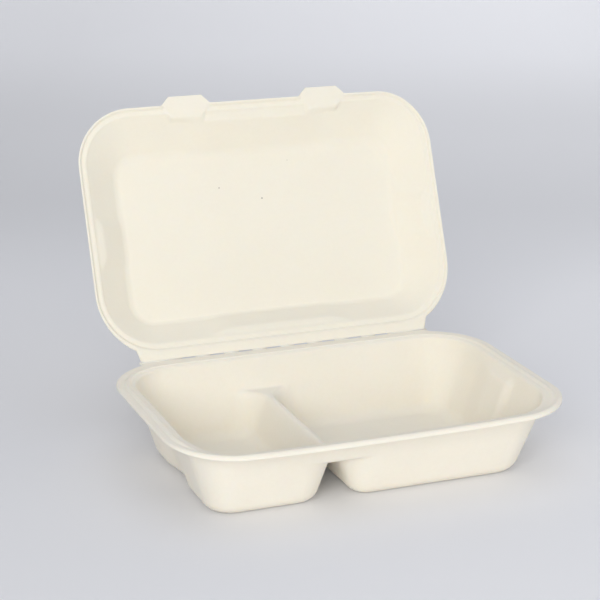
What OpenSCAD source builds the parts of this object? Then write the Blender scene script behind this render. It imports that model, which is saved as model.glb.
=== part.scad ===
// Moulded pulp meal box with two compartments, a crease hinge and a shallow lid.
// Millimetres. +Z is up, +X runs along the crease, the front edge faces -Y.
// The origin is under the middle of the base, on the plane its feet stand on.

/* [Box] */
// length of the base's rim along the crease
box_length = 250; // [238:1:290]
// depth of the base's rim, from its front edge to the crease
box_depth = 163.5; // [155:0.5:190]
// height of the bead along the sides of the base's rim
base_height = 48.1; // [38:0.1:70]
// how far the front edge dips at its middle
front_dip = 3.3; // [0:0.1:6]
// thickness of the tray's pulp
wall = 0.95; // [0.6:0.05:1.2]

/* [Rim] */
// corner radius of the base's rim at the front
front_radius = 38; // [28:1:42]
// corner radius of the base's rim beside the crease
back_radius = 42; // [34:1:46]
// how far the bead stands above the lip around it
bead_rise = 0.8; // [0.4:0.1:1.2]
// how far the lip's edge turns down
lip_drop = 1.6; // [0.8:0.1:3]
// how much further the lip turns down along the front
front_lip = 1.1; // [0:0.1:2]
// how far the front rim rolls down towards the food
front_roll = 3; // [0:0.1:4]
// width of the rim from its edge to the inner wall
rim_width = 12; // [11.5:0.1:14]
// how much further in the bead runs beside the crease
bead_set_back = 2.3; // [2:0.1:2.8]

/* [Compartments] */
// how far the right end wall leans in from the rim to the flat floor
side_lean = 23.5; // [18:0.5:30]
// how far the left end wall leans in
left_lean = 19; // [16:0.5:28]
// how far the front wall leans in
front_lean = 16.5; // [14:0.5:26]
// how far the back wall leans in
back_lean = 20; // [16:0.5:28]
// radius between the walls and the floor
floor_round = 9; // [5:0.5:12]
// corner radius of the floor in plan
floor_corner = 11; // [9:1:16]
// where the divider's ridge stands along the box, from the middle
divider_x = -24; // [-34:0.5:-14]
// height of the divider's ridge
divider_height = 27.5; // [12:0.1:32]
// width of the flat along the top of the ridge
divider_flat = 5; // [2:0.5:9]
// radius beside that flat
divider_round = 3; // [1:0.5:4]
// rise of the divider's sides for each millimetre across
divider_slope = 2.8; // [2.4:0.1:3.2]
// depth of the flute in each end wall
flute_depth = 3.2; // [0:0.1:5]
// flat width of that flute
flute_width = 16; // [8:1:20]
// how far the middle of that flat lies in front of the box's middle
flute_forward = 4; // [0:1:6]
// width of the flute's slanting edge at the front
flute_edge = 8; // [3:0.5:9]
// width over which the flute fades towards the back
flute_fade = 24; // [8:1:24]

/* [Lid] */
// thickness of the lid's pulp
lid_pulp = 0.65; // [0.5:0.05:0.9]
// length of the lid's rim
lid_length = 243.2; // [232:0.2:284]
// gap from the front of the lid's rim to the front of the base's, when shut
lid_set_back = 2.4; // [1:0.1:5]
// depth of the lid from its rim to the inside of its panel
lid_depth = 17.5; // [12:0.5:30]
// corner radius of the lid's rim at the front
lid_front_radius = 36; // [28:1:42]
// corner radius of the lid's rim beside the crease
lid_back_radius = 42.5; // [34:0.5:44]
// how far the lid's end walls lean in
lid_side_lean = 24; // [18:0.5:30]
// how far the lid's front wall leans in
lid_front_lean = 26.5; // [18:0.5:30]
// how far the lid's wall at the crease leans in
lid_back_lean = 15; // [12:0.5:20]
// corner radius of the lid's panel
panel_corner = 12; // [8:1:16]
// depth of the flute in each wall of the lid
lid_flute_depth = 3.5; // [0:0.5:5]
// flat width of the flutes in the lid's front and back walls
lid_long_flute = 64; // [40:1:70]
// flat width of the flutes in the lid's end walls
lid_short_flute = 18; // [10:1:24]
// width of each slanting edge of the lid's flutes
lid_flute_edge = 9; // [4:1:10]

/* [Tabs] */
// distance of each tab from the middle of the front edge
tab_offset = 47; // [42:1:52]
// width of a tab at the lid's edge
tab_width = 33; // [26:1:34]
// width of a tab at its tip
tab_tip_width = 22; // [14:1:24]
// how far a tab reaches past the lid's edge
tab_reach = 5.6; // [3:0.1:8]

/* [Crease] */
// angle of the lid from shut
open_angle = 112.5; // [0:0.5:180]
// gap between the two strips along the crease
crease_gap = 0.3; // [0.3:0.05:0.4]
// length of the strips along the crease
crease_length = 198; // [180:1:206]
// number of slits cut along the crease
slit_count = 8; // [6:1:11]
// distance from one slit to the next
slit_pitch = 19; // [15:0.5:19]
// length of one slit
slit_length = 9; // [6:0.5:12]
// width of one slit across both strips
slit_width = 1; // [0.8:0.1:2]

/* [Hidden] */
half_x = box_length / 2;
half_y = box_depth / 2;
lip_z = base_height - bead_rise;
axis_y = half_y;
axis_z = lip_z + crease_gap / 2;
lid_half_x = lid_length / 2;
lid_front_y = -half_y + lid_set_back;
// the lid's rim starts this far from the crease, and its groove line that far
lid_back_edge = 2.5;
lid_back_rim = 5.4;
lid_rim_width = 6;
lid_clear = 0.45;
corner_steps = 6;

// x of the points along the front and back edges, close together at the divider
ridge_steps = [2.5, 4.5, 6.5, 9, 12, 14, 17, 20, 23];
divider_columns = concat(
  [for (i = [8:-1:0]) divider_x - ridge_steps[i]],
  [divider_x],
  [for (u = ridge_steps) divider_x + u]
);
base_columns = concat([-74, -66, -59], divider_columns, [11, 24, 38, 51, 63, 74]);
// y of the points along the ends, close together at the flute
flute_front = -flute_forward - flute_width / 2;
flute_back = -flute_forward + flute_width / 2;
base_rows = concat(
  [-35, -29],
  [for (u = [1, 0.75, 0.5, 0.25, 0]) flute_front - u * flute_edge],
  [-flute_forward],
  [for (u = [0, 0.25, 0.5, 0.75, 1]) flute_back + u * flute_fade],
  [36]
);

function blend(a, b, t) = a + (b - a) * t;
function clamp(v) = max(0, min(1, v));
function ease(v) = clamp(v) * clamp(v) * (3 - 2 * clamp(v));
// the lesser of two heights, with a soft change from one to the other
function soft_min(a, b, k) = k < 0.01 ? min(a, b) : min(a, b) - pow(max(k - abs(a - b), 0), 2) / (4 * k);
// 1 across a flat width, easing to 0 over the slanting edges beside it
function plateau(v, flat, edge) = 1 - ease((abs(v) - flat / 2) / edge);

// points of an arc, both ends included
function arc(cx, cy, r, start) =
  [for (i = [0:corner_steps]) [cx + r * cos(start + 90 * i / corner_steps), cy + r * sin(start + 90 * i / corner_steps)]];

// one ring of points around the box, anticlockwise from the right end.
// rows run along the ends and columns along the front and back. The three lists of shifts push
// each point of an end, the front or the back inwards.
function ring(rx, lx, fy, by, rf, rb, rows, cols, row_in, front_in, back_in) =
  let (nr = len(rows) - 1, nc = len(cols) - 1)
  concat(
    [for (i = [0:nr]) [rx - row_in[i], rows[i]]],
    arc(rx - rb, by - rb, rb, 0),
    [for (i = [0:nc]) [cols[nc - i], by - back_in[nc - i]]],
    arc(lx + rb, by - rb, rb, 90),
    [for (i = [0:nr]) [lx + row_in[nr - i], rows[nr - i]]],
    arc(lx + rf, fy + rf, rf, 180),
    [for (i = [0:nc]) [cols[i], fy + front_in[i]]],
    arc(rx - rf, fy + rf, rf, 270)
  );

// unit normal of a section's step, on the side away from the food
function step_normal(a, b) = let (d = b - a) [d[1], -d[0]] / norm(d);
// a section is a list of [inset, part of the lean, height]; this moves it by the pulp's thickness
function flat_section(section, lean) = [for (s = section) [s[0] + s[1] * lean, s[2]]];
function thicken(section, lean, thick) =
  let (f = flat_section(section, lean), last = len(section) - 1)
  [for (i = [0:last])
    let (
      n0 = step_normal(f[max(i - 1, 0)], f[max(i, 1)]),
      n1 = step_normal(f[min(i, last - 1)], f[min(i + 1, last)]),
      n = (n0 + n1) / norm(n0 + n1),
      m = min(1.25, 1 / max(n * n1, 0.1)),
      shift = thick * m * n
    )
    [section[i][0] + shift[0], section[i][1], section[i][2] + shift[1]]];

// triangles between two rings of n points that start at a and b
function band(a, b, n) =
  [for (i = [0:n - 1]) let (j = (i + 1) % n) each [[a + i, b + i, b + j], [a + i, b + j, a + j]]];

// triangles from one point to a row of others
function fan(apex, row) = [for (i = [0:len(row) - 2]) [apex, row[i], row[i + 1]]];

// the floor or panel inside the last ring: the right end, the strips between columns, the left end
function middle(a, nr, nc) =
  let (
    c = corner_steps + 1,
    back = a + nr + c,
    left = back + nc + c,
    front = left + nr + c,
    end = front + nc + c
  )
  concat(
    fan(back, concat([for (i = [front + nc - 1:end - 1]) i], [for (i = [a:back - 1]) i])),
    [for (i = [0:nc - 2]) each [
      [back + i, back + i + 1, front + nc - 2 - i],
      [back + i, front + nc - 2 - i, front + nc - 1 - i]
    ]],
    fan(back + nc - 1, [for (i = [back + nc:front]) i])
  );

function flip(faces) = [for (f = faces) [for (i = [len(f) - 1:-1:0]) f[i]]];

// a closed shell from its rings on the food side and the same number on the other side
module shell(food, other, nr, nc, turned) {
  n = len(food[0]);
  count = len(food);
  start = n * count;
  points = concat([for (r = food) each r], [for (r = other) each r]);
  food_bands = [for (i = [0:count - 2]) each band(i * n, (i + 1) * n, n)];
  other_bands = [for (i = [0:count - 2]) each band(start + (i + 1) * n, start + i * n, n)];
  faces = concat(
    food_bands,
    flip(middle((count - 1) * n, nr, nc)),
    other_bands,
    middle(start + (count - 1) * n, nr, nc),
    band(start, 0, n)
  );
  polyhedron(points = points, faces = turned ? flip(faces) : faces, convexity = 8);
}

// how far the rim at x, y is lowered by the dip along the front
function dip(x, y) = front_dip * pow(clamp(-y / half_y), 2) * clamp(1 - pow(abs(x) / half_x, 3));
// the dip fades down the walls, and is gone at the floor
function dip_at(x, y, z) = dip(x, y) * clamp(z / lip_z);
// 1 along the front of the rim, 0 along its ends and beside the crease
function front_share(y) = ease((-y - half_y + 31.75) / 25);
// the front rim has no bead, turns down further at its edge and rolls down towards the food
function front_drop(s) =
  max(s[2] - lip_z, 0)
  + front_lip * pow(clamp(1 - s[0] / 2.4), 2)
  + front_roll * clamp((s[0] - 2.5) / 7.5) * clamp(1 - s[1] / 0.3);

// section of the base from the edge of the lip to the floor
base_rim = [
  [0, 0, lip_z - lip_drop],
  [0.15, 0, lip_z - 0.7],
  [0.8, 0, lip_z - 0.15],
  [1.9, 0, lip_z],
  [4.4, 0, lip_z + 0.05],
  [4.9, 0, lip_z + bead_rise * 0.55],
  [5.5, 0, base_height],
  [7.2, 0, base_height],
  [7.9, 0, lip_z + bead_rise * 0.45],
  [8.6, 0, lip_z],
  [rim_width - 1, 0, lip_z - 0.3],
  [rim_width, 0, lip_z - 1.2]
];
wall_tilt = atan((side_lean - floor_round) / (lip_z - wall - floor_round / 2));
round_run = floor_round * cos(wall_tilt) / side_lean;
round_top = wall + floor_round * (1 - sin(wall_tilt));
base_wall = [for (i = [1:7]) [rim_width, (1 - round_run) * i / 7, blend(lip_z - 1.2, round_top, i / 7)]];
base_round = [for (i = [1:5]) let (a = (90 - wall_tilt) * (1 - i / 5))
  [rim_width, 1 - floor_round * sin(a) / side_lean, wall + floor_round * (1 - cos(a))]];
base_floor = [for (inset = [3, 6, 8]) [rim_width + inset, 1, wall]];
base_section = concat(base_rim, base_wall, base_round, base_floor);
// how steeply the end walls fall, over their whole lean and for each millimetre
wall_fall = (lip_z - 1.2 - round_top) / (1 - round_run);
wall_slope = wall_fall / side_lean;
// height of the walls' slope at one place of a section, carried on below the floor
function slope_at(s, under) =
  lip_z - 1.2 - wall_fall * s[1] - wall_slope * (s[0] - rim_width) - (under ? wall * sqrt(1 + pow(wall_slope, 2)) : 0);

// a slope's height once it is rounded into the ground at its foot
function foot(p, ground, r) =
  let (
    lean = atan(divider_slope),
    reach = r * tan(lean / 2),
    low = ground - divider_slope * reach,
    high = ground + reach * sin(lean)
  )
  p >= high ? p : p <= low ? ground : ground + r - sqrt(r * r - pow((p - low) / divider_slope, 2));
// the greater of two slopes, with the corner between them rounded in plan
function corner_max(a, b, ground, k) =
  sqrt(pow(max(a - ground + k, 0), 2) + pow(max(b - ground + k, 0), 2)) - k + ground;

// the two compartments are pockets with rounded corners. The divider is what stands between them,
// cut off flat at its ridge, which widens into a ledge at the front and back walls
side_run = divider_flat / 2 + (divider_height - wall) / divider_slope;
function with_divider(x, p, g, under) =
  let (
    ground = under ? 0 : wall,
    steep = sqrt(1 + pow(divider_slope, 2)),
    base = wall - (under ? wall * steep : 0),
    r = floor_round + (under ? wall : 0),
    k = divider_slope * floor_corner + (under ? wall * (steep - 1) : 0),
    left_side = (x - divider_x + side_run) * divider_slope + base,
    right_side = (divider_x + side_run - x) * divider_slope + base,
    left = foot(corner_max(p, left_side, ground, k), ground, r),
    right = foot(corner_max(p, right_side, ground, k), ground, r),
    lift = max(min(left, right) - g, 0),
    top = divider_height - (under ? wall : 0) - g,
    room = (top + sqrt(top * top + 4)) / 2
  )
  g + soft_min(lift, room, min(0.7 * divider_slope * divider_round, lift));

// the corners tighten soon below the rim
function round_off(t) = pow(t, 0.6);
// how strongly the end walls' flutes show at a given part of the lean
function flute_share(t) = ease(t / 0.12);

// how much further in a place on the rim lies beside the crease
function back_shift(s) = bead_set_back * min(clamp((s - 2) / 2.4), 1 - 0.8 * clamp((s - 7.5) / 3.4));

// the flute in each end wall, steep at its front and fading towards the back
function flute_at(y) = ease((y - flute_front + flute_edge) / flute_edge) * (1 - ease((y - flute_back) / flute_fade));
strip_y = axis_y - crease_gap / 2;

// one ring of the base. s is its place on this side, and food the same place on the food side
function base_ring(s, food, under) =
  let (
    t = s[1],
    flutes = [for (y = base_rows) flute_depth * flute_share(t) * flute_at(y)],
    none = [for (x = base_columns) 0],
    corner = floor_corner - max(s[0] - rim_width, 0),
    flat = ring(
      half_x - s[0] - t * side_lean,
      -half_x + s[0] + t * left_lean,
      -half_y + s[0] + t * front_lean,
      half_y - s[0] - back_shift(s[0]) - t * back_lean,
      blend(front_radius - s[0], corner, round_off(t)),
      blend(back_radius - s[0], corner, round_off(t)),
      base_rows, base_columns, flutes, none, none
    )
  )
  [for (p = flat)
    let (
      drop = dip_at(p[0], p[1], s[2]) + front_share(p[1]) * front_drop(food),
      z = s[2] - drop
    )
    [p[0], p[1], t > 0 ? with_divider(p[0], slope_at(s, under) - drop, z, under) : z]];

// flat strip beside the crease. It reaches in by three depths: at its ends, at the rounded
// corners and along its middle
module strip_plate(at_ends, at_corners, at_middle, inner, thick) {
  end = crease_length / 2;
  linear_extrude(height = thick)
    polygon([
      [-end, strip_y],
      [-end, strip_y - at_ends],
      [inner - end, strip_y - at_corners],
      [inner + 8 - end, strip_y - at_middle],
      [end - inner - 8, strip_y - at_middle],
      [end - inner, strip_y - at_corners],
      [end, strip_y - at_ends],
      [end, strip_y]
    ]);
}

// half of each slit, cut into one strip's edge
module slits() {
  for (i = [0:slit_count - 1]) {
    translate([(i - (slit_count - 1) / 2) * slit_pitch - slit_length / 2, axis_y - slit_width / 2, axis_z - 3])
      cube([slit_length, slit_width, 6]);
  }
}

module base() {
  under = thicken(base_section, side_lean, wall);
  count = len(base_section);
  food = [for (i = [0:count - 1]) base_ring(base_section[i], base_section[i], false)];
  other = [for (i = [0:count - 1]) base_ring(under[i], base_section[i], true)];
  color("#f1ebdd")
    difference() {
      union() {
        shell(food, other, len(base_rows), len(base_columns), false);
        translate([0, 0, lip_z - wall - 0.2])
          strip_plate(1.2, 3.8, 4.2, 12, wall);
      }
      slits();
    }
}

// section of the lid from the edge of its lip to the panel, measured up from the crease when shut
lid_rim = [
  [0, 0, lid_clear],
  [1.1, 0, lid_clear],
  [1.6, 0, lid_clear + 0.63],
  [2.0, 0, 1.7],
  [2.7, 0, 2.0],
  [4.6, 0, 2.0],
  [5.4, 0, 2.2],
  [lid_rim_width, 0, 2.7]
];
lid_round = 10;
lid_tilt = atan((lid_side_lean - lid_round * 0.8) / (lid_depth - 4.5));
lid_arc = 90 - lid_tilt;
lid_run = lid_round * sin(lid_arc) / lid_side_lean;
lid_top = lid_depth - lid_round * (1 - cos(lid_arc));
lid_side = [for (i = [1:5]) [lid_rim_width, (1 - lid_run) * i / 5, blend(2.7, lid_top, i / 5)]];
lid_bend = [for (i = [1:4]) let (a = lid_arc * (1 - i / 4))
  [lid_rim_width, 1 - lid_round * sin(a) / lid_side_lean, lid_depth - lid_round * (1 - cos(a))]];
lid_section = concat(lid_rim, lid_side, lid_bend);

tab_half = tab_width / 2;
tab_tip = tab_tip_width / 2;
tab_steps = [-1, -0.82, -0.66, -0.33, 0, 0.33, 0.66, 0.82, 1];
lid_columns = concat(
  [-75],
  [for (u = tab_steps) u * tab_half - tab_offset],
  [-26, -13, 0, 13, 26],
  [for (u = tab_steps) u * tab_half + tab_offset],
  [75]
);
lid_flute_half = lid_short_flute / 2;
lid_rows = concat(
  [-32, -26],
  [for (u = [1, 0.66, 0.33, 0]) 4 - lid_flute_half - u * lid_flute_edge],
  [4],
  [for (u = [0, 0.33, 0.66, 1]) 4 + lid_flute_half + u * lid_flute_edge],
  [29]
);

// 1 on a tab's flat, falling to 0 at its sides
function tab_share(x) = clamp((tab_half - abs(abs(x) - tab_offset)) / (tab_half - tab_tip));

function lid_ring(s, first, outside) =
  let (
    t = s[1],
    share = ease(t / 0.1) * (1 - 0.8 * t),
    ends = [for (y = lid_rows) lid_flute_depth * share * plateau(y - 4, lid_short_flute, lid_flute_edge)],
    long = [for (x = lid_columns) lid_flute_depth * share * plateau(x, lid_long_flute, lid_flute_edge + 10)],
    tabs = [for (x = lid_columns) s[0] < 3 ? -tab_reach * tab_share(x) * (1 - s[0] / 3) : 0],
    front = [for (i = [0:len(lid_columns) - 1]) long[i] + tabs[i]],
    flat = ring(
      lid_half_x - s[0] - t * lid_side_lean,
      -lid_half_x + s[0] + t * lid_side_lean,
      lid_front_y + s[0] + t * lid_front_lean,
      first ? axis_y - lid_back_edge : axis_y - lid_back_rim - s[0] - t * lid_back_lean,
      blend(lid_front_radius - s[0], panel_corner, t),
      first ? lid_back_radius : blend(lid_back_radius - 2.9 - s[0], panel_corner, t),
      lid_rows, lid_columns, ends, front, long
    )
  )
  [for (p = flat)
    let (
      tab = (p[1] < lid_front_y + 12) ? tab_share(p[0]) : 0,
      z = blend(s[2], max(s[2], 1.5 + (outside ? lid_pulp : 0)), s[0] < 2 ? tab : 0),
      level = s[0] >= 1.9 && t == 0 ? blend(z, min(z, 1.5 + (outside ? lid_pulp : 0)), tab) : z
    )
    [p[0], p[1], level + axis_z - dip(p[0], p[1]) * clamp(1 - t)]];

module shut_lid() {
  out = thicken(lid_section, lid_side_lean, -lid_pulp);
  count = len(lid_section);
  food = [for (i = [0:count - 1]) lid_ring(lid_section[i], i == 0, false)];
  other = [for (i = [0:count - 1]) lid_ring(out[i], i == 0, true)];
  difference() {
    union() {
      shell(food, other, len(lid_rows), len(lid_columns), true);
      translate([0, 0, axis_z + crease_gap / 2])
        strip_plate(6, 7.6, 5, 5.5, lid_pulp);
    }
    slits();
  }
}

module lid() {
  color("#f3ede0")
    translate([0, axis_y, axis_z])
      rotate([-open_angle, 0, 0])
        translate([0, -axis_y, -axis_z])
          shut_lid();
}

base();
lid();
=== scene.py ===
import math

import bpy
import numpy as np
from mathutils import Euler, Matrix, Vector


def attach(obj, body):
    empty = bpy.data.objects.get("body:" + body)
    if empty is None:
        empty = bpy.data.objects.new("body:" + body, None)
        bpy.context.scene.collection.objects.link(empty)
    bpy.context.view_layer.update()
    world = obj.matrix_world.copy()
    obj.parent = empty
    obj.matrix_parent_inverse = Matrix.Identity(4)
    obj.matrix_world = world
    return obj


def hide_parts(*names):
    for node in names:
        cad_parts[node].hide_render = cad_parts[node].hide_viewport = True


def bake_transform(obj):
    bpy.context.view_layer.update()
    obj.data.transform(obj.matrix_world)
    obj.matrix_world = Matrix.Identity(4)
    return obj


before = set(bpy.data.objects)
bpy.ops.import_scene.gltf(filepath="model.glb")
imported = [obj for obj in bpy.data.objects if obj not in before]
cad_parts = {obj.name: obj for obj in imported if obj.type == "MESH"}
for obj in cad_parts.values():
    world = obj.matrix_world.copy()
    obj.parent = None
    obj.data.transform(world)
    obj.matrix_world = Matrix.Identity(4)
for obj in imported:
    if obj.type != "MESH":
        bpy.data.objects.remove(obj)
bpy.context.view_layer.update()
print("frame loaded")

mm = 0.001
hair = 0.01  # places closer than this are the same, in millimetres


# shaping helpers, all in millimetres
def smoothStep(v):
    v = np.clip(v, 0, 1)
    return v * v * (3 - 2 * v)


def softMin(a, b, k):
    k = np.maximum(k, 1e-6)
    return np.minimum(a, b) - np.maximum(k - np.abs(a - b), 0) ** 2 / (4 * k)


def plateau(v, flat, edge):
    return 1 - smoothStep((np.abs(v) - flat / 2) / edge)


def cutCorners(points, passes):
    # rounds a section's polyline, keeping its two ends
    p = np.array(points, float)
    for _ in range(passes):
        a = p[:-1] * 0.75 + p[1:] * 0.25
        b = p[:-1] * 0.25 + p[1:] * 0.75
        p = np.vstack([p[:1], np.stack([a, b], 1).reshape(-1, p.shape[1])[1:-1], p[-1:]])
    return p


def arcPoints(cx, cy, r, angles):
    a = np.radians(angles)
    return np.stack([cx + r * np.cos(a), cy + r * np.sin(a)], 1)


def ringPoints(right, left, front, back, radiusFront, radiusBack, rows, cols, turns):
    # one ring around the box, anticlockwise from the right end. turns are the angles of a back
    # corner's points, from the end wall to the back
    even = np.linspace(0, 90, len(turns))
    return np.vstack([
        np.stack([np.full(len(rows), right), rows], 1),
        arcPoints(right - radiusBack, back - radiusBack, radiusBack, turns),
        np.stack([cols[::-1], np.full(len(cols), back)], 1),
        arcPoints(left + radiusBack, back - radiusBack, radiusBack, 180 - turns[::-1]),
        np.stack([np.full(len(rows), left), rows[::-1]], 1),
        arcPoints(left + radiusFront, front + radiusFront, radiusFront, 180 + even),
        np.stack([cols, np.full(len(cols), front)], 1),
        arcPoints(right - radiusFront, front + radiusFront, radiusFront, 270 + even),
    ])


def sideOf(rows, cols, turns):
    # how much each ring point belongs to the right, back, left and front, and where each stretch starts
    nr = len(rows)
    nc = len(cols)
    c = len(turns)
    starts = np.cumsum([0, nr, c, nc, c, nr, c, nc])
    total = starts[-1] + c
    share = np.zeros((total, 4))
    for side, (at, n) in enumerate([(0, nr), (starts[2], nc), (starts[4], nr), (starts[6], nc)]):
        share[at:at + n, side] = 1
    for side, at in enumerate([starts[1], starts[3], starts[5], starts[7]]):
        turn = np.linspace(0, 1, c)
        share[at:at + c, side] = 1 - turn
        share[at:at + c, (side + 1) % 4] = turn
    return share, starts


def innerGrid(rows, cols, starts, corner, base, inner):
    # the flat middle: a grid of rows and columns, joined to the last ring
    nr = len(rows)
    nc = len(cols)
    quads = []
    tris = []

    def g(i, j):
        return inner + j * nc + i

    for j in range(nr - 1):
        for i in range(nc - 1):
            quads.append((g(i, j), g(i + 1, j), g(i + 1, j + 1), g(i, j + 1)))
    right, back, left, front = starts[0], starts[2], starts[4], starts[6]
    for j in range(nr - 1):
        quads.append((g(nc - 1, j), base + right + j, base + right + j + 1, g(nc - 1, j + 1)))
        quads.append((base + left + nr - 1 - j, g(0, j), g(0, j + 1), base + left + nr - 2 - j))
    for i in range(nc - 1):
        quads.append((base + front + i, base + front + i + 1, g(i + 1, 0), g(i, 0)))
        quads.append((g(i, nr - 1), g(i + 1, nr - 1), base + back + nc - 2 - i, base + back + nc - 1 - i))
    corners = [
        (g(nc - 1, nr - 1), starts[1], right + nr - 1, back),
        (g(0, nr - 1), starts[3], back + nc - 1, left),
        (g(0, 0), starts[5], left + nr - 1, front),
        (g(nc - 1, 0), starts[7], front + nc - 1, 0),
    ]
    for hub, at, before, after in corners:
        run = [before] + list(range(at, at + corner)) + [after]
        for a, b in zip(run[:-1], run[1:]):
            tris.append((hub, base + a, base + b))
    return quads, tris


def gridNormals(p, faces):
    n = np.zeros_like(p)
    for a in faces:
        last = a.shape[1] - 1
        cross = np.cross(p[a[:, 2]] - p[a[:, 0]], p[a[:, last]] - p[a[:, 1]])
        for k in range(a.shape[1]):
            np.add.at(n, a[:, k], cross)
    return n / np.maximum(np.linalg.norm(n, axis=1, keepdims=True), 1e-12)


def closedShell(rings, middle, rows, cols, turns, starts, wall, flipped):
    # a pulp shell: the food side from its rings, the other side a wall's thickness away, and its edge
    n = rings.shape[1]
    count = rings.shape[0]
    food = np.vstack([rings.reshape(-1, 3), middle])
    k = np.arange(n)
    m = (k + 1) % n
    bands = [np.stack([at + k, at + m, at + n + m, at + n + k], 1) for at in range(0, (count - 1) * n, n)]
    quads, tris = innerGrid(rows, cols, starts, len(turns), (count - 1) * n, count * n)
    quads = np.vstack(bands + [np.array(quads)])
    tris = np.array(tris)
    normal = gridNormals(food, [quads, tris])
    # the offset turns a little more softly than the food side
    around = [quads[:, [i, (i + 1) % 4]] for i in range(4)]
    links = np.vstack(around + [tris[:, [1, 2]]])
    passes = 3
    for _ in range(passes):
        total = normal.copy()
        np.add.at(total, links[:, 0], normal[links[:, 1]])
        np.add.at(total, links[:, 1], normal[links[:, 0]])
        normal = total / np.maximum(np.linalg.norm(total, axis=1, keepdims=True), 1e-12)
    if flipped:
        normal = -normal
    other = food - normal * wall
    size = len(food)
    points = np.vstack([food, other, (food[:n] + other[:n]) / 2])
    r = 2 * size
    edge = np.vstack([np.stack([size + k, size + m, r + m, r + k], 1), np.stack([r + k, r + m, m, k], 1)])
    allQuads = np.vstack([quads, quads[:, ::-1] + size, edge])
    allTris = np.vstack([tris, tris[:, ::-1] + size])
    if flipped:
        allQuads = allQuads[:, ::-1]
        allTris = allTris[:, ::-1]
    return points, allQuads, allTris


def makeMesh(name, points, faces, material):
    mesh = bpy.data.meshes.new(name)
    places = [tuple(float(c) for c in p) for p in points]
    mesh.from_pydata(places, [], [tuple(int(v) for v in f) for f in faces])
    mesh.validate()
    mesh.polygons.foreach_set("use_smooth", [True] * len(mesh.polygons))
    mesh.materials.append(material)
    mesh.update()
    obj = bpy.data.objects.new(name, mesh)
    bpy.context.scene.collection.objects.link(obj)
    return obj


def sharpenWhere(obj, test):
    # marks as sharp the edges whose two ends pass a test of their place
    mesh = obj.data
    place = np.empty(len(mesh.vertices) * 3)
    mesh.vertices.foreach_get("co", place)
    good = test(place.reshape(-1, 3) / mm)
    ends = np.empty(len(mesh.edges) * 2, int)
    mesh.edges.foreach_get("vertices", ends)
    ends = ends.reshape(-1, 2)
    sharp = good[ends[:, 0]] & good[ends[:, 1]]
    mesh.edges.foreach_set("use_edge_sharp", sharp)


# moulded pulp
pulpLook = {
    "colour": (0.872, 0.82, 0.708),
    "darker": (0.81, 0.75, 0.63),
    "roughness": 0.72,
    "gloss": 0.3,
    "sheen": 0.08,
    "glow": 0.3,
    "glowRadius": (1.0, 0.75, 0.5),
    "glowScale": 0.0015,
    "mottleScale": 28.0,
    "grainScale": 420.0,
    "fibreScale": 900.0,
    "fibreHeight": 0.00005,
    "waveScale": 22.0,
    "waveHeight": 0.0005,
}
# the lid is the same pulp as the tray, painted a little darker as painted shade
lidShadedLook = dict(pulpLook, colour=(0.86, 0.805, 0.685))
speckLook = {
    "colour": (0.13, 0.085, 0.05),
    "places": [(-25.7, 139.3, 140.7), (2.9, 135.8, 132.3), (24.0, 144.9, 154.2), (-92.7, 102.9, 64.2)],
    "radii": [0.5, 0.55, 0.4, 0.45],
    "strengths": [0.8, 0.95, 0.4, 0.9],
}


def addNode(tree, kind, **inputs):
    node = tree.nodes.new(kind)
    for key, value in inputs.items():
        if key.startswith("set_"):
            setattr(node, key[4:], value)
        else:
            node.inputs[key.replace("_", " ")].default_value = value
    return node


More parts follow.
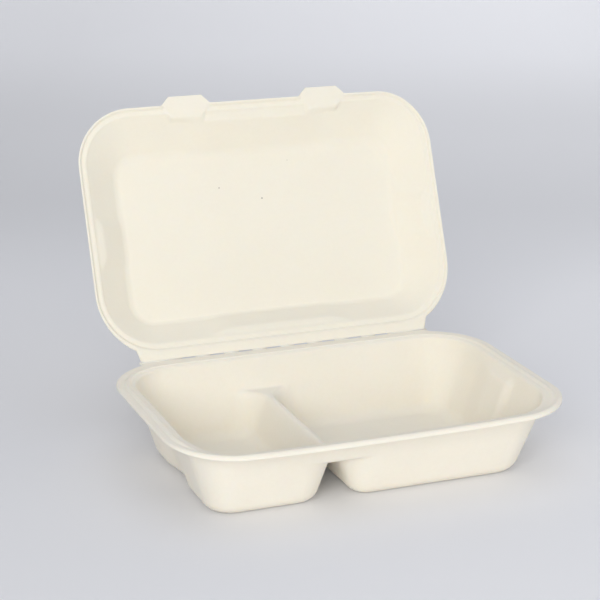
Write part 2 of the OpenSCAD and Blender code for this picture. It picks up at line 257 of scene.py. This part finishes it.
def makePulp(name, look):
    mat = bpy.data.materials.new(name)
    mat.use_nodes = True
    tree = mat.node_tree
    tree.nodes.clear()
    link = tree.links.new
    out = tree.nodes.new("ShaderNodeOutputMaterial")
    shader = addNode(tree, "ShaderNodeBsdfPrincipled", Roughness=look["roughness"])
    shader.inputs["Specular IOR Level"].default_value = look["gloss"]
    shader.inputs["Sheen Weight"].default_value = look["sheen"]
    # light soaks a little way into the pulp
    shader.inputs["Subsurface Weight"].default_value = look["glow"]
    shader.inputs["Subsurface Radius"].default_value = look["glowRadius"]
    shader.inputs["Subsurface Scale"].default_value = look["glowScale"]
    coords = tree.nodes.new("ShaderNodeTexCoord")
    # slow mottling and fine fibres in the colour
    soft = addNode(tree, "ShaderNodeTexNoise", Scale=look["mottleScale"], Detail=4.0)
    link(coords.outputs["Object"], soft.inputs["Vector"])
    grain = addNode(tree, "ShaderNodeTexNoise", Scale=look["grainScale"], Detail=5.0, Roughness=0.7)
    link(coords.outputs["Object"], grain.inputs["Vector"])
    softRange = addNode(tree, "ShaderNodeMapRange", From_Min=0.35, From_Max=0.75, To_Max=0.22)
    link(soft.outputs["Fac"], softRange.inputs["Value"])
    grainRange = addNode(tree, "ShaderNodeMapRange", From_Min=0.4, From_Max=0.8, To_Max=0.25)
    link(grain.outputs["Fac"], grainRange.inputs["Value"])
    both = addNode(tree, "ShaderNodeMath", set_operation="ADD")
    link(softRange.outputs["Result"], both.inputs[0])
    link(grainRange.outputs["Result"], both.inputs[1])
    mix = addNode(tree, "ShaderNodeMix", set_data_type="RGBA")
    mix.inputs[6].default_value = (*look["colour"], 1)
    mix.inputs[7].default_value = (*look["darker"], 1)
    link(both.outputs["Value"], mix.inputs["Factor"])
    link(mix.outputs[2], shader.inputs["Base Color"])
    # the fibres also stand up a little, over faint waves left by drying
    fibre = addNode(tree, "ShaderNodeTexNoise", Scale=look["fibreScale"], Detail=4.0)
    link(coords.outputs["Object"], fibre.inputs["Vector"])
    fibreBump = addNode(tree, "ShaderNodeBump", Strength=0.6, Distance=look["fibreHeight"])
    link(fibre.outputs["Fac"], fibreBump.inputs["Height"])
    wave = addNode(tree, "ShaderNodeTexNoise", Scale=look["waveScale"], Detail=1.0)
    link(coords.outputs["Object"], wave.inputs["Vector"])
    waveBump = addNode(tree, "ShaderNodeBump", Strength=0.5, Distance=look["waveHeight"])
    link(wave.outputs["Fac"], waveBump.inputs["Height"])
    link(fibreBump.outputs["Normal"], waveBump.inputs["Normal"])
    link(waveBump.outputs["Normal"], shader.inputs["Normal"])
    link(shader.outputs["BSDF"], out.inputs["Surface"])
    return mat


def addSpecks(mat, look, obj):
    # small dark fibres at places on the object's surface
    tree = mat.node_tree
    link = tree.links.new
    shader = next(n for n in tree.nodes if n.type == "BSDF_PRINCIPLED")
    colour = shader.inputs["Base Color"].links[0].from_socket
    coords = next(n for n in tree.nodes if n.type == "TEX_COORD")
    for place, radius, strength in zip(look["places"], look["radii"], look["strengths"]):
        spot = obj.closest_point_on_mesh(Vector(place) * mm)[1]
        away = addNode(tree, "ShaderNodeVectorMath", set_operation="DISTANCE")
        away.inputs[1].default_value = spot
        link(coords.outputs["Object"], away.inputs[0])
        near = addNode(tree, "ShaderNodeMapRange", From_Min=radius * mm * 0.5, From_Max=radius * mm,
                       To_Min=strength, To_Max=0.0)
        link(away.outputs["Value"], near.inputs["Value"])
        mix = addNode(tree, "ShaderNodeMix", set_data_type="RGBA")
        mix.inputs[7].default_value = (*look["colour"], 1)
        link(near.outputs["Result"], mix.inputs["Factor"])
        link(colour, mix.inputs[6])
        colour = mix.outputs[2]
    link(colour, shader.inputs["Base Color"])


pulpBase = makePulp("pulpBase", pulpLook)
# the lid's material carries that painted shade, a darker copy of the tray's pulp
pulpLidShaded = makePulp("pulpLidShaded", lidShadedLook)
print("pulp")

# the tray, with two compartments
tray = {
    "length": 250.0,
    "depth": 163.5,
    "height": 48.1,
    "frontDip": 3.3,
    "wall": 0.94,
    "frontRadius": 38.0,
    "backRadius": 42.0,
    "beadRise": 0.8,
    "lipDrop": 1.6,
    "frontLip": 1.1,
    "frontRoll": 3.0,
    "rollFrom": 31.75,
    "rollOver": 25.0,
    "rimWidth": 12.0,
    "rimFall": 1.2,
    "beadSetBack": 2.3,
    "stripReach": 4.4,
    "stripLevel": 6.0,
    "stripSoft": 1.0,
    "rightLean": 23.5,
    "leftLean": 19.0,
    "frontLean": 16.5,
    "backLean": 20.0,
    "floorRound": 9.0,
    "floorCorner": 11.0,
    "dividerX": -24.0,
    "dividerHeight": 27.5,
    "dividerFlat": 5.0,
    "dividerRound": 3.0,
    "dividerSlope": 2.8,
    "fluteDepth": 3.2,
    "fluteWidth": 16.0,
    "fluteForward": 4.0,
    "fluteEdge": 8.0,
    "fluteFade": 24.0,
}
# the crease between the tray and the lid
crease = {
    "gap": 0.3,
    "length": 198.0,
    "slits": 8,
    "pitch": 19.0,
    "slitLength": 9.0,
    "slitWidth": 1.0,
    "webOverlap": 0.04,
    "webLift": 0.005,
    "webTrim": 0.02,
    "webSteps": 9,
    "endClearance": 0.05,
    "foldReach": 0.35,
}
halfX = tray["length"] / 2
halfY = tray["depth"] / 2
lipZ = tray["height"] - tray["beadRise"]
axisY = halfY  # the hinge's line, half way up the crease's gap
axisZ = lipZ + crease["gap"] / 2
stripEnd = crease["length"] / 2
stripY = axisY - crease["slitWidth"] / 2


def dipAt(x, y):
    return tray["frontDip"] * np.clip(-y / halfY, 0, 1) ** 2 * np.clip(1 - np.abs(x / halfX) ** 3, 0, 1)


def stripShare(x, y, soft):
    # 1 where the rim is drawn out into the strip along the crease
    return np.where(y > 0, smoothStep((stripEnd + soft - np.abs(x)) / (2 * soft)), 0)


def footOf(p, ground, r, slope):
    # a slope's height once it is rounded into the floor
    lean = math.atan(slope)
    reach = r * math.tan(lean / 2)
    low = ground - slope * reach
    inside = np.clip((p - low) / slope, 0, r * math.sin(lean))
    curve = ground + r - np.sqrt(r * r - inside ** 2)
    return np.where(p >= ground + reach * math.sin(lean), p, curve)


def cornerMax(a, b, ground, k):
    return np.sqrt(np.maximum(a - ground + k, 0) ** 2 + np.maximum(b - ground + k, 0) ** 2) - k + ground


def withDivider(x, slope, low):
    # two pockets with rounded corners, and the divider that stands between them up to its ridge
    b = tray
    m = b["dividerSlope"]
    k = m * b["floorCorner"]
    run = b["dividerFlat"] / 2 + (b["dividerHeight"] - b["wall"]) / m
    ground = b["wall"]
    leftSide = (x - b["dividerX"] + run) * m + ground
    rightSide = (b["dividerX"] + run - x) * m + ground
    left = footOf(cornerMax(slope, leftSide, ground, k), ground, b["floorRound"], m)
    right = footOf(cornerMax(slope, rightSide, ground, k), ground, b["floorRound"], m)
    lift = np.maximum(np.minimum(left, right) - low, 0)
    top = b["dividerHeight"] - low
    room = (top + np.sqrt(top * top + 4)) / 2  # never below nought, where the wall passes the ridge
    return low + softMin(lift, room, np.minimum(0.7 * m * b["dividerRound"], lift))


def cornerShare(t):
    # how far the corners have tightened, fast below the rim and slowly towards the floor
    start = 0.01
    power = 0.6
    return ((t + start) ** power - start ** power) / ((1 + start) ** power - start ** power)


def trayMesh():
    # each section point is its way in from the rim's edge, its share of the wall's lean, and its height
    b = tray
    top = b["height"]
    w = b["rimWidth"]
    rise = b["beadRise"]
    wallTop = lipZ - b["rimFall"]
    rim = [
        (0.0, 0, lipZ - b["lipDrop"]),
        (0.05, 0, lipZ - 0.9),
        (0.35, 0, lipZ - 0.3),
        (1.2, 0, lipZ),
        (2.4, 0, lipZ + 0.03),
        (4.4, 0, lipZ + 0.03),
        (5.0, 0, lipZ + rise * 0.6),
        (5.7, 0, top + 0.02),
        (7.0, 0, top + 0.02),
        (7.8, 0, lipZ + rise * 0.5),
        (8.6, 0, lipZ),
        (w - 1, 0, lipZ - 0.3),
        (w, 0, wallTop),
    ]
    r = b["floorRound"]
    tilt = math.atan((b["rightLean"] - r) / (lipZ - b["wall"] - r / 2))
    run = r * math.cos(tilt) / b["rightLean"]
    roundTop = b["wall"] + r * (1 - math.sin(tilt))
    fall = (wallTop - roundTop) / (1 - run)
    steep = fall / b["rightLean"]
    turn = math.pi / 2 - tilt
    wallSteps = 34
    bendSteps = 8
    floorSteps = 8
    wall = []
    for i in range(1, wallSteps + 1):
        wall.append((w, (1 - run) * i / wallSteps, wallTop + (roundTop - wallTop) * i / wallSteps))
    bend = []
    for i in range(1, bendSteps + 1):
        a = turn * (1 - i / bendSteps)
        bend.append((w, 1 - r * math.sin(a) / b["rightLean"], b["wall"] + r * (1 - math.cos(a))))
    ground = [(w + i, 1, b["wall"]) for i in range(1, floorSteps + 1)]
    section = np.vstack([cutCorners(rim, 2), wall, bend, ground])

    # columns stand closer at the divider, and rows end before the arcs of the set-back bead begin
    middleX = b["dividerX"]
    near = 23
    reachX = 74
    cols = np.concatenate([
        np.linspace(-reachX, middleX - near, 14, endpoint=False),
        np.linspace(middleX - near, middleX + near, 50, endpoint=False),
        np.linspace(middleX + near, reachX, 34),
    ])
    rows = np.linspace(-41.5, 36.8, 54)
    # a back corner has more points where the strip along the crease ends
    turns = np.concatenate([
        np.linspace(0, 58, 9, endpoint=False),
        np.linspace(58, 76, 12, endpoint=False),
        np.linspace(76, 90, 4),
    ])
    share, starts = sideOf(rows, cols, turns)
    fluteFront = -b["fluteForward"] - b["fluteWidth"] / 2
    fluteBack = -b["fluteForward"] + b["fluteWidth"] / 2

    rings = []
    for s, t, z in section:
        corner = cornerShare(t)
        radius = b["floorCorner"] - max(s - w, 0)
        # the bead stands further in at the back, and the wall below comes most of the way out again
        begun = np.clip((s - 2) / 2.4, 0, 1)
        shift = b["beadSetBack"] * min(begun, 1 - 0.8 * np.clip((s - 7.5) / 3.4, 0, 1))
        ring = ringPoints(
            halfX - s - t * b["rightLean"],
            -halfX + s + t * b["leftLean"],
            -halfY + s + t * b["frontLean"],
            halfY - s - shift - t * b["backLean"],
            (b["frontRadius"] - s) * (1 - corner) + radius * corner,
            (b["backRadius"] - s) * (1 - corner) + radius * corner,
            rows, cols, turns)
        x = ring[:, 0].copy()
        y = ring[:, 1].copy()
        flute = smoothStep((y - fluteFront + b["fluteEdge"]) / b["fluteEdge"])
        flute = flute * (1 - smoothStep((y - fluteBack) / b["fluteFade"]))
        ring[:, 0] -= b["fluteDepth"] * smoothStep(t / 0.12) * flute * (share[:, 0] - share[:, 2])
        # the front rim loses its bead, and its lip and inner edge roll down
        drop = max(z - lipZ, 0) + b["frontLip"] * np.clip(1 - s / 2.4, 0, 1) ** 2
        drop += b["frontRoll"] * np.clip((s - 2.5) / 7.5, 0, 1) * np.clip(1 - t / 0.3, 0, 1)
        drop = drop * smoothStep((-y - halfY + b["rollFrom"]) / b["rollOver"])
        drop = dipAt(x, y) * np.clip(z / lipZ, 0, 1) + drop
        low = z - drop
        if t > 0:
            low = withDivider(ring[:, 0], wallTop - fall * t - steep * (s - w) - drop, low)
        rings.append(np.column_stack([ring, low]))
    rings = np.array(rings)
    # the rim is drawn out into a flat strip beside the crease
    outline = rings[0].copy()
    strip = stripShare(outline[:, 0], outline[:, 1], b["stripSoft"])
    for i, s in enumerate(section[:, 0]):
        if s > b["stripReach"]:
            break
        rings[i, :, 1] += strip * (stripY - outline[:, 1]) * (1 - s / b["stripReach"])
        rings[i, :, 2] += strip * (lipZ - rings[i, :, 2]) * (1 - s / b["stripLevel"])
    gx, gy = np.meshgrid(cols, rows)
    gx = gx.ravel()
    gy = gy.ravel()
    # the four walls' slopes run on over the middle, so that the divider meets them
    inward = np.minimum(gy + halfY - w - b["frontLean"], halfY - w - b["backLean"] - gy)
    inward = np.minimum(inward, np.minimum(halfX - w - b["rightLean"] - gx, gx + halfX - w - b["leftLean"]))
    slope = wallTop - fall - steep * inward
    gz = withDivider(gx, slope, np.full(gx.size, b["wall"]))
    middle = np.column_stack([gx, gy, gz])
    return closedShell(rings, middle, rows, cols, turns, starts, b["wall"], False)


points, quads, tris = trayMesh()
trayObj = makeMesh("tray", points * mm, list(quads) + list(tris), pulpBase)
sharpenWhere(trayObj, lambda p: (np.abs(p[:, 1] - stripY) < hair) & (np.abs(p[:, 0]) < stripEnd))
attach(trayObj, "base")
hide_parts("base")
print("tray", len(quads) * 2 + len(tris), "triangles")

# the lid, modelled shut and then opened about the crease
lid = {
    "wall": 0.65,
    "length": 243.2,
    "setBack": 2.4,
    "depth": 17.5,
    "rimWidth": 6.0,
    "rimRise": 2.7,
    "frontRadius": 36.0,
    "backRadius": 42.5,
    "backEdge": 2.5,
    "backGroove": 2.9,
    "edgeStep": 0.15,
    "stripReach": 1.1,
    "stripFade": 0.95,
    "stripSoft": 1.3,
    "sideLean": 24.0,
    "frontLean": 26.5,
    "backLean": 15.0,
    "panelCorner": 12.0,
    "fluteDepth": 3.5,
    "longFlute": 64.0,
    "longFluteEdge": 19.0,
    "shortFlute": 18.0,
    "shortFluteEdge": 9.0,
    "shortFluteBack": 4.0,
    "tabOffset": 47.0,
    "tabWidth": 33.0,
    "tabTipWidth": 22.0,
    "tabFootWidth": 20.0,
    "tabReach": 5.6,
    "tabInside": 9.3,
    "tabEdge": 1.5,
    "tabHeight": 1.5,
    "openAngle": 112.5,
    "round": 10.0,
}


def lidMesh():
    # sections as in the tray, with heights from the crease's line
    b = lid
    rim = [
        (0.0, 0, 0.55),
        (b["edgeStep"], 0, 0.45),
        (b["stripReach"], 0, 0.45),
        (1.6, 0, 1.08),
        (2.0, 0, 1.7),
        (2.7, 0, 2.0),
        (4.6, 0, 2.0),
        (5.4, 0, 2.2),
        (b["rimWidth"], 0, b["rimRise"]),
    ]
    # the wall's tilt, nearly, between the rim and the round above it
    tilt = math.atan((b["sideLean"] - b["round"] * 0.8) / (b["depth"] - 4.5))
    turn = math.pi / 2 - tilt
    run = b["round"] * math.sin(turn) / b["sideLean"]
    wallTop = b["depth"] - b["round"] * (1 - math.cos(turn))
    wallSteps = 20
    bendSteps = 12
    w = b["rimWidth"]
    foot = b["rimRise"]
    r = b["round"]
    wall = []
    for i in range(1, wallSteps + 1):
        wall.append((w, (1 - run) * i / wallSteps, foot + (wallTop - foot) * i / wallSteps))
    bend = []
    for i in range(1, bendSteps + 1):
        a = turn * (1 - i / bendSteps)
        bend.append((w, 1 - r * math.sin(a) / b["sideLean"], b["depth"] - r * (1 - math.cos(a))))
    section = np.vstack([cutCorners(rim, 2), wall, bend])
    # columns stand closer at the tabs
    tabOut = 66
    tabIn = 28
    reachX = 75
    cols = np.concatenate([
        np.linspace(-reachX, -tabOut, 6, endpoint=False),
        np.linspace(-tabOut, -tabIn, 38, endpoint=False),
        np.linspace(-tabIn, tabIn, 30, endpoint=False),
        np.linspace(tabIn, tabOut, 38, endpoint=False),
        np.linspace(tabOut, reachX, 7),
    ])
    rows = np.linspace(-32, 29, 46)
    turns = np.concatenate([
        np.linspace(0, 48, 8, endpoint=False),
        np.linspace(48, 70, 14, endpoint=False),
        np.linspace(70, 90, 5),
    ])
    share, starts = sideOf(rows, cols, turns)
    half = b["length"] / 2
    frontY = -halfY + b["setBack"]
    tabHalf = b["tabWidth"] / 2
    tabTip = b["tabTipWidth"] / 2
    rings = []
    for s, t, z in section:
        groove = b["backGroove"] * min(s / b["edgeStep"], 1)
        ring = ringPoints(
            half - s - t * b["sideLean"],
            -half + s + t * b["sideLean"],
            frontY + s + t * b["frontLean"],
            axisY - b["backEdge"] - groove - s - t * b["backLean"],
            (b["frontRadius"] - s) * (1 - t) + b["panelCorner"] * t,
            (b["backRadius"] - groove - s) * (1 - t) + b["panelCorner"] * t,
            rows, cols, turns)
        x = ring[:, 0].copy()
        y = ring[:, 1].copy()
        fade = smoothStep(t / 0.1) * (1 - 0.8 * t) * b["fluteDepth"]
        ends = fade * plateau(y - b["shortFluteBack"], b["shortFlute"], b["shortFluteEdge"])
        long = fade * plateau(x, b["longFlute"], b["longFluteEdge"])
        # each tab is a flat six-sided pad that also reaches past the lid's edge
        off = np.abs(np.abs(x) - b["tabOffset"])
        inside = y - frontY
        reach = b["tabReach"] * np.clip((tabHalf - off) / (tabHalf - tabTip), 0, 1) * max(0.0, 1 - s / 3)
        padHalf = tabHalf - (tabHalf - b["tabFootWidth"] / 2) * np.clip(inside / b["tabInside"], 0, 1)
        edge = b["tabEdge"]
        pad = smoothStep((padHalf - off) / edge + 0.5) * smoothStep((b["tabInside"] - inside) / edge + 0.5)
        pad = pad * (y < 0)
        ring[:, 0] -= ends * (share[:, 0] - share[:, 2])
        ring[:, 1] += share[:, 3] * (long * (1 - pad) - reach) - share[:, 1] * long
        level = z * (1 - pad) + b["tabHeight"] * pad
        low = level + axisZ - dipAt(x, y) * max(0.0, 1 - t)
        rings.append(np.column_stack([ring, low]))
    rings = np.array(rings)
    outline = rings[0].copy()
    strip = stripShare(outline[:, 0], outline[:, 1], b["stripSoft"])
    # the lid's edge is drawn out beside the crease too
    for i, s in enumerate(section[:, 0]):
        if s > b["stripReach"]:
            break
        edge = axisZ + crease["gap"] / 2
        rings[i, :, 1] += strip * (stripY - outline[:, 1]) * (1 - min(s / b["edgeStep"], 1))
        fade = 1 - max(s - b["edgeStep"], 0) / b["stripFade"]
        rings[i, :, 2] += strip * (edge - rings[i, :, 2]) * fade
    gx, gy = np.meshgrid(cols, rows)
    middle = np.column_stack([gx.ravel(), gy.ravel(), np.full(gx.size, b["depth"] + axisZ)])
    return closedShell(rings, middle, rows, cols, turns, starts, b["wall"], True)


def opened(points):
    a = math.radians(-lid["openAngle"])
    y = points[:, 1] - axisY
    z = points[:, 2] - axisZ
    return np.column_stack([
        points[:, 0],
        axisY + y * math.cos(a) - z * math.sin(a),
        axisZ + y * math.sin(a) + z * math.cos(a),
    ])


# the way that the open lid leaves the crease, as y and z
openTurn = math.radians(lid["openAngle"])
lidUp = np.array([-math.cos(openTurn), math.sin(openTurn)])
points, quads, tris = lidMesh()
lidObj = makeMesh("lid", opened(points) * mm, list(quads) + list(tris), pulpLidShaded)


def onLidStrip(p):
    along = (p[:, 1] - axisY) * lidUp[0] + (p[:, 2] - axisZ) * lidUp[1]
    return (np.abs(along - crease["slitWidth"] / 2) < hair) & (np.abs(p[:, 0]) < stripEnd)


sharpenWhere(lidObj, onLidStrip)
addSpecks(pulpLidShaded, speckLook, lidObj)
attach(lidObj, "lid")
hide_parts("lid")
print("lid", len(quads) * 2 + len(tris), "triangles")


# the webs of the crease, left between the slits, and the two longer ones at its ends
def webPoints(halfWidth):
    # a strip of pulp that leaves the tray's strip, bends about the crease and runs up the lid's
    near = crease["slitWidth"] / 2 + crease["webOverlap"]
    inner = crease["gap"] / 2
    lift = crease["webLift"]
    trim = crease["webTrim"]
    a0 = -90.0
    a1 = -90.0 + 180.0 - lid["openAngle"]
    angles = np.radians(np.linspace(a0, a1, crease["webSteps"]))
    first = np.array([math.cos(angles[0]), math.sin(angles[0])])
    last = np.array([math.cos(angles[-1]), math.sin(angles[-1])])
    centre = np.array([axisY, axisZ])
    flat = np.array([-1.0, 0.0])
    foodSide = [centre + (inner + lift) * first + flat * near]
    outside = [centre + (inner + tray["wall"] - trim) * first + flat * near]
    for i, a in enumerate(angles):
        d = np.array([math.cos(a), math.sin(a)])
        wall = tray["wall"] + (lid["wall"] - tray["wall"]) * i / (len(angles) - 1)
        foodSide.append(centre + (inner + lift) * d)
        outside.append(centre + (inner + wall - trim) * d)
    foodSide.append(centre + (inner + lift) * last + lidUp * near)
    outside.append(centre + (inner + lid["wall"] - trim) * last + lidUp * near)
    loop = foodSide + outside[::-1]
    n = len(loop)
    points = [(x, p[0], p[1]) for x in (-halfWidth, halfWidth) for p in loop]
    faces = [(i, i + n, (i + 1) % n + n, (i + 1) % n) for i in range(n)]
    h = len(foodSide)
    for i in range(h - 1):
        j = n - 1 - i
        faces.append((i, i + 1, j - 1, j))
        faces.append((n + j, n + j - 1, n + i + 1, n + i))
    return np.array(points), faces


def makeRepeater():
    # sets copies of a shape along x about the middle
    tree = bpy.data.node_groups.new("creaseWebs", "GeometryNodeTree")
    tree.interface.new_socket("Geometry", in_out="INPUT", socket_type="NodeSocketGeometry")
    tree.interface.new_socket("Webs", in_out="INPUT", socket_type="NodeSocketInt")
    tree.interface.new_socket("Pitch", in_out="INPUT", socket_type="NodeSocketFloat")
    tree.interface.new_socket("Pulp", in_out="INPUT", socket_type="NodeSocketMaterial")
    tree.interface.new_socket("Geometry", in_out="OUTPUT", socket_type="NodeSocketGeometry")
    link = tree.links.new
    source = tree.nodes.new("NodeGroupInput")
    less = addNode(tree, "ShaderNodeMath", set_operation="SUBTRACT")
    less.inputs[1].default_value = 1.0
    link(source.outputs["Webs"], less.inputs[0])
    across = addNode(tree, "ShaderNodeMath", set_operation="MULTIPLY")
    link(less.outputs["Value"], across.inputs[0])
    link(source.outputs["Pitch"], across.inputs[1])
    back = addNode(tree, "ShaderNodeMath", set_operation="MULTIPLY")
    back.inputs[1].default_value = -0.5
    link(across.outputs["Value"], back.inputs[0])
    start = tree.nodes.new("ShaderNodeCombineXYZ")
    link(back.outputs["Value"], start.inputs["X"])
    step = tree.nodes.new("ShaderNodeCombineXYZ")
    link(source.outputs["Pitch"], step.inputs["X"])
    line = tree.nodes.new("GeometryNodeMeshLine")
    line.mode = "OFFSET"
    link(source.outputs["Webs"], line.inputs["Count"])
    link(start.outputs["Vector"], line.inputs["Start Location"])
    link(step.outputs["Vector"], line.inputs["Offset"])
    copies = tree.nodes.new("GeometryNodeInstanceOnPoints")
    link(line.outputs["Mesh"], copies.inputs["Points"])
    link(source.outputs["Geometry"], copies.inputs["Instance"])
    real = tree.nodes.new("GeometryNodeRealizeInstances")
    link(copies.outputs["Instances"], real.inputs["Geometry"])
    paint = tree.nodes.new("GeometryNodeSetMaterial")
    link(real.outputs["Geometry"], paint.inputs["Geometry"])
    link(source.outputs["Pulp"], paint.inputs["Material"])
    sink = tree.nodes.new("NodeGroupOutput")
    link(paint.outputs["Geometry"], sink.inputs["Geometry"])
    return tree


def repeated(name, obj, count, pitch, material):
    # the object copied along x about the middle, as one plain mesh
    tree = makeRepeater()
    sockets = {i.name: i.identifier for i in tree.interface.items_tree if i.in_out == "INPUT"}
    mod = obj.modifiers.new("repeat", "NODES")
    mod.node_group = tree
    mod[sockets["Webs"]] = count
    mod[sockets["Pitch"]] = pitch
    mod[sockets["Pulp"]] = material
    shape = bpy.context.evaluated_depsgraph_get()
    mesh = bpy.data.meshes.new_from_object(obj.evaluated_get(shape))
    obj.modifiers.remove(mod)
    mesh.name = name
    obj.data = mesh
    obj.name = name
    return obj


webHalf = (crease["pitch"] - crease["slitLength"]) / 2
slitsEnd = (crease["slits"] - 1) / 2 * crease["pitch"] + crease["slitLength"] / 2
webs = [
    ("webs", webHalf, crease["slits"] - 1, crease["pitch"]),
    ("endWebs", (stripEnd - slitsEnd) / 2 - crease["endClearance"], 2, stripEnd + slitsEnd),
]
for name, halfWidth, count, pitch in webs:
    points, faces = webPoints(halfWidth)
    obj = makeMesh(name, points * mm, faces, pulpBase)
    obj = repeated(name, obj, count, pitch * mm, pulpBase)
    for polygon in obj.data.polygons:
        polygon.use_smooth = abs(polygon.normal.x) < 0.5
    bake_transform(obj)
print("crease")

# studio
stage = {
    # the paper's greys hold painted shade, a darker band behind the box and lighter paper in front and up
    # the wall
    "greysWithPaintedShade": [(0.0, 0.85), (0.30, 0.84), (0.42, 0.72), (0.52, 0.74), (0.75, 0.90), (1.0, 0.95)],
    "leftShade": 0.91,
    "rightShade": 1.08,
    "wallDistance": 1.6,
    "bendRadius": 0.9,
    "bendSteps": 24,
    "width": 8.0,
    "front": -5.0,
    "top": 5.0,
    "turn": -22,
    "greysFrom": -0.6,
    "greysTo": 2.4,
    "shadeReach": 0.35,
    "roughness": 0.8,
}


def makeStage():
    width = stage["width"]
    profile = [(stage["front"], 0.0)]
    d = stage["wallDistance"]
    r = stage["bendRadius"]
    steps = stage["bendSteps"]
    for i in range(steps + 1):
        a = math.pi / 2 * i / steps
        profile.append((d + r * math.sin(a), r - r * math.cos(a)))
    profile.append((d + r, stage["top"]))
    pts = []
    for x in (-width / 2, width / 2):
        for y, z in profile:
            pts.append((x, y, z))
    n = len(profile)
    faces = [(i, n + i, n + i + 1, i + 1) for i in range(n - 1)]
    turn = Matrix.Rotation(math.radians(stage["turn"]), 4, "Z")
    mesh = bpy.data.meshes.new("backdrop")
    mesh.from_pydata([turn @ Vector(p) for p in pts], [], faces)
    mesh.polygons.foreach_set("use_smooth", [True] * len(mesh.polygons))
    obj = bpy.data.objects.new("backdrop", mesh)
    bpy.context.scene.collection.objects.link(obj)
    mat = bpy.data.materials.new("backdropPaper")
    mat.use_nodes = True
    tree = mat.node_tree
    shader = tree.nodes["Principled BSDF"]
    # painted shade on the paper: its grey is painted darker in a band behind the box and lighter on the
    # floor in front and up the wall, and painted darker on the left and lighter on the right
    coords = tree.nodes.new("ShaderNodeTexCoord")
    turned = addNode(tree, "ShaderNodeMapping")
    turned.inputs["Rotation"].default_value = (0, 0, math.radians(-stage["turn"]))
    link = tree.links.new
    link(coords.outputs["Object"], turned.inputs["Vector"])
    parts = tree.nodes.new("ShaderNodeSeparateXYZ")
    link(turned.outputs["Vector"], parts.inputs["Vector"])
    away = addNode(tree, "ShaderNodeMapRange", From_Min=stage["greysFrom"], From_Max=stage["greysTo"])
    link(parts.outputs["Y"], away.inputs["Value"])
    ramp = tree.nodes.new("ShaderNodeValToRGB")
    ramp.color_ramp.interpolation = "EASE"
    stops = ramp.color_ramp.elements
    while len(stops) < len(stage["greysWithPaintedShade"]):
        stops.new(0.5)
    for stop, (place, grey) in zip(stops, stage["greysWithPaintedShade"]):
        stop.position = place
        stop.color = (grey, grey * 0.995, grey, 1)
    link(away.outputs["Result"], ramp.inputs["Fac"])
    across = addNode(tree, "ShaderNodeMapRange", From_Min=-stage["shadeReach"], From_Max=stage["shadeReach"],
                     To_Min=stage["leftShade"], To_Max=stage["rightShade"])
    link(parts.outputs["X"], across.inputs["Value"])
    shade = addNode(tree, "ShaderNodeVectorMath", set_operation="SCALE")
    link(ramp.outputs["Color"], shade.inputs[0])
    link(across.outputs["Result"], shade.inputs["Scale"])
    link(shade.outputs["Vector"], shader.inputs["Base Color"])
    shader.inputs["Roughness"].default_value = stage["roughness"]
    mesh.materials.append(mat)


makeStage()

lights = {
    "key": {"place": (-1.3, -1.7, 1.0), "aim": (0, 0.03, 0.08), "size": 1.2, "power": 21},
    "top": {"place": (0.1, 0.0, 1.9), "aim": (0, 0.03, 0.08), "size": 1.6, "power": 5},
    "fill": {"place": (1.2, -1.6, 0.35), "aim": (0, 0.03, 0.05), "size": 1.2, "power": 6},
    "front": {"place": (-0.45, -1.8, 0.55), "aim": (0, 0.03, 0.05), "size": 0.7, "power": 6.5},
    "back": {"place": (0.3, 0.9, 1.6), "aim": (0.9, 2.6, 0.5), "size": 1.0, "power": 8},
}
room = {
    "colour": (0.86, 0.9, 1.0),
    "strength": 0.45,
}


def makeLight(name, place, aim, size, power):
    data = bpy.data.lights.new(name, "AREA")
    data.shape = "SQUARE"
    data.size = size
    data.energy = power
    obj = bpy.data.objects.new(name, data)
    obj.location = place
    obj.rotation_euler = (Vector(aim) - Vector(place)).to_track_quat("-Z", "Y").to_euler()
    bpy.context.scene.collection.objects.link(obj)


for name, values in lights.items():
    makeLight(name, values["place"], values["aim"], values["size"], values["power"])
world = bpy.data.worlds.new("studio")
world.use_nodes = True
background = world.node_tree.nodes["Background"]
background.inputs["Color"].default_value = (*room["colour"], 1)
background.inputs["Strength"].default_value = room["strength"]
bpy.context.scene.world = world
bpy.context.scene.view_settings.view_transform = "Standard"
print("studio")

view = {
    "place": (-0.415979, -0.967933, 0.42763),
    "turn": (72.8072767, -0.45007258, -21.88090706),
    "lens": 111.025,
    "sensor": 36,
}
cameraData = bpy.data.cameras.new("camera")
cameraData.lens = view["lens"]
cameraData.sensor_width = view["sensor"]
camera = bpy.data.objects.new("camera", cameraData)
camera.location = view["place"]
camera.rotation_euler = Euler([math.radians(v) for v in view["turn"]], "XYZ")
bpy.context.scene.collection.objects.link(camera)
bpy.context.scene.camera = camera
